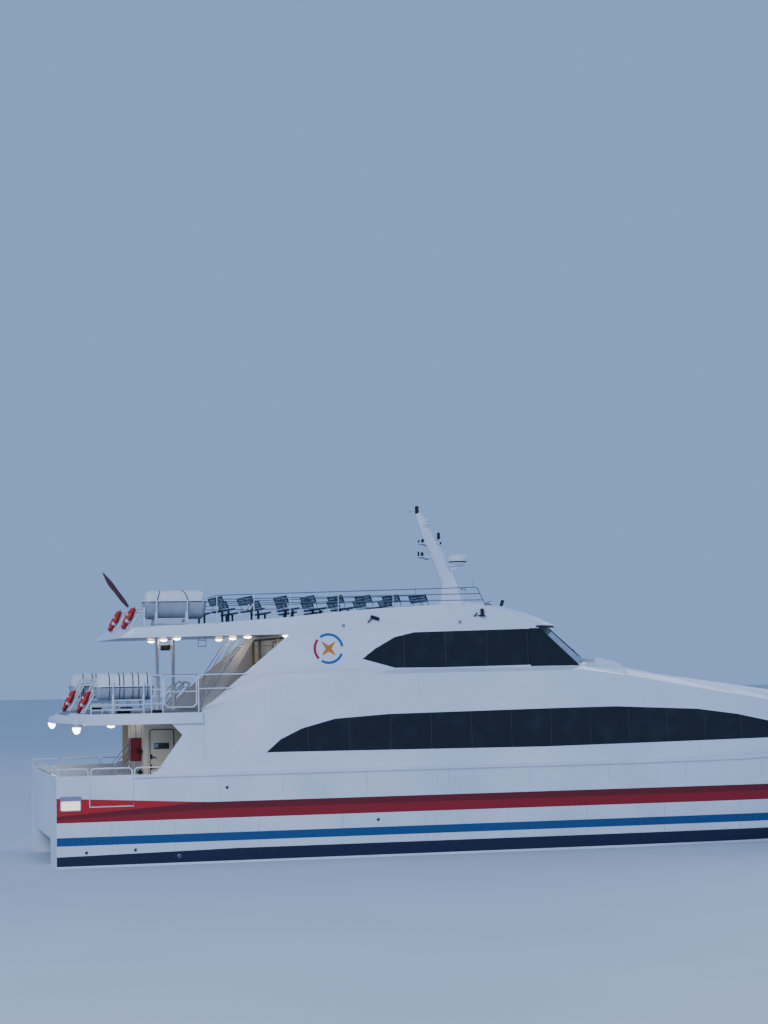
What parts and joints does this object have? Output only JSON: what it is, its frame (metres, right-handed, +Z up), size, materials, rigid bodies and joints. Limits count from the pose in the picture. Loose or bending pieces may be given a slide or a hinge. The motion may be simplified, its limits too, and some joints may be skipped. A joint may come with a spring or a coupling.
{
  "type": "passenger ferry catamaran",
  "caption": "Twin-hull high-speed passenger ferry with an enclosed main cabin, an upper cabin with wheelhouse, and an open sundeck with seat rows and life rafts.",
  "frame": {"origin": "on the centreline at the waterline, at the transom", "axes": "+X forward to the bow, +Y to port, +Z up"},
  "size_m": [26.5, 8.11, 11.52],
  "materials": {
    "white_paint": "gloss",
    "hull_paint": "gloss",
    "cream_paint": "satin",
    "red_paint": "gloss",
    "dark_glass": "gloss",
    "raft_shell": "satin",
    "buoy_skin": "satin",
    "seat_slats": "satin",
    "deck_grey": "matte",
    "propeller_bronze": "satin",
    "rudder_steel": "satin",
    "engine_iron": "matte"
  },
  "bodies": {
    "root": {"demihull_starboard": "hull_paint", "demihull_port": "hull_paint", "bridge_deck": "white_paint", "engine_starboard": "engine_iron", "engine_port": "engine_iron", "stern_rail": "white_paint", "cabin_side_starboard": "white_paint", "cabin_side_port": "white_paint", "cabin_nose": "white_paint", "foredeck": "white_paint", "cabin_glazing_starboard": "dark_glass", "cabin_glazing_port": "dark_glass", "nose_glazing": "dark_glass", "upper_deck": "white_paint", "main_stair": "white_paint", "aft_casing": "cream_paint", "stair_screen": "cream_paint", "fire_cabinet": "red_paint", "main_bulkhead": "cream_paint", "house_side_starboard": "white_paint", "house_side_port": "white_paint", "house_front": "white_paint", "house_glazing_starboard": "dark_glass", "house_glazing_port": "dark_glass", "windscreen": "dark_glass", "house_bulkhead": "cream_paint", "roof": "white_paint", "roof_pillars": "white_paint", "sundeck_stair": "white_paint", "mast": "white_paint", "radome": "white_paint", "raft_starboard": "raft_shell", "raft_cradle_starboard": "white_paint", "raft_port": "raft_shell", "raft_cradle_port": "white_paint", "raft_roof": "raft_shell", "raft_cradle_roof": "white_paint", "buoy_rack_deck": "white_paint", "lifebuoy_deck_starboard": "buoy_skin", "lifebuoy_deck_port": "buoy_skin", "lifebuoy_roof_starboard": "buoy_skin", "lifebuoy_roof_port": "buoy_skin", "bow_rail": "white_paint", "sundeck_rail": "white_paint", "sundeck_seats": "seat_slats", "flagstaff": "white_paint"},
    "propeller_starboard": {"propeller_starboard": "propeller_bronze"},
    "propeller_port": {"propeller_port": "propeller_bronze"},
    "rudder_starboard": {"rudder_starboard": "rudder_steel"},
    "rudder_port": {"rudder_port": "rudder_steel"},
    "bulwark_gate_starboard": {"bulwark_gate_starboard": "white_paint"},
    "bulwark_gate_port": {"bulwark_gate_port": "white_paint"},
    "rail_gate_starboard": {"rail_gate_starboard": "white_paint"},
    "rail_gate_port": {"rail_gate_port": "white_paint"},
    "casing_door": {"casing_door": "cream_paint"},
    "main_door": {"main_door": "cream_paint"},
    "house_door": {"house_door": "cream_paint"},
    "engine_hatch_starboard": {"engine_hatch_starboard": "deck_grey"},
    "engine_hatch_port": {"engine_hatch_port": "deck_grey"}
  },
  "joints": [
    {"name": "propeller_starboard_spin", "type": "hinge", "parent": "root", "child": "propeller_starboard", "pos_m": [1, -3.07, -0.92], "axis": [1, 0, 0], "continuous": true},
    {"name": "propeller_port_spin", "type": "hinge", "parent": "root", "child": "propeller_port", "pos_m": [1, 3.07, -0.92], "axis": [1, 0, 0], "continuous": true},
    {"name": "rudder_starboard_turn", "type": "hinge", "parent": "root", "child": "rudder_starboard", "pos_m": [0.43, -3.07, -0.9], "axis": [0, 0, 1], "range_deg": [-35, 35]},
    {"name": "rudder_port_turn", "type": "hinge", "parent": "root", "child": "rudder_port", "pos_m": [0.43, 3.07, -0.9], "axis": [0, 0, 1], "range_deg": [-35, 35]},
    {"name": "bulwark_gate_starboard_swing", "type": "hinge", "parent": "root", "child": "bulwark_gate_starboard", "pos_m": [2.0957, -3.955, 2.1], "axis": [0, 0, -1], "range_deg": [0, 90]},
    {"name": "bulwark_gate_port_swing", "type": "hinge", "parent": "root", "child": "bulwark_gate_port", "pos_m": [2.0957, 3.955, 2.1], "axis": [0, 0, 1], "range_deg": [0, 90]},
    {"name": "rail_gate_starboard_swing", "type": "hinge", "parent": "root", "child": "rail_gate_starboard", "pos_m": [3.9, -3.86, 4.7], "axis": [0, 0, -1], "range_deg": [0, 90]},
    {"name": "rail_gate_port_swing", "type": "hinge", "parent": "root", "child": "rail_gate_port", "pos_m": [3.9, 3.86, 4.7], "axis": [0, 0, 1], "range_deg": [0, 90]},
    {"name": "casing_door_swing", "type": "hinge", "parent": "root", "child": "casing_door", "pos_m": [3.4377, -2.75, 2.7], "axis": [0, 0, 1], "range_deg": [0, 95]},
    {"name": "main_door_swing", "type": "hinge", "parent": "root", "child": "main_door", "pos_m": [4.905, 2.5477, 2.7], "axis": [0, 0, -1], "range_deg": [0, 95]},
    {"name": "house_door_swing", "type": "hinge", "parent": "root", "child": "house_door", "pos_m": [6.75, -0.4023, 5.2], "axis": [0, 0, -1], "range_deg": [0, 95]},
    {"name": "engine_hatch_starboard_lift", "type": "hinge", "parent": "root", "child": "engine_hatch_starboard", "pos_m": [0.855, -2.95, 1.665], "axis": [0, -1, 0], "range_deg": [0, 90]},
    {"name": "engine_hatch_port_lift", "type": "hinge", "parent": "root", "child": "engine_hatch_port", "pos_m": [0.855, 2.95, 1.665], "axis": [0, -1, 0], "range_deg": [0, 90]}
  ],
  "couplings": [
    {"joint": "rudder_port_turn", "follows": "rudder_starboard_turn", "ratio": 1}
  ]
}
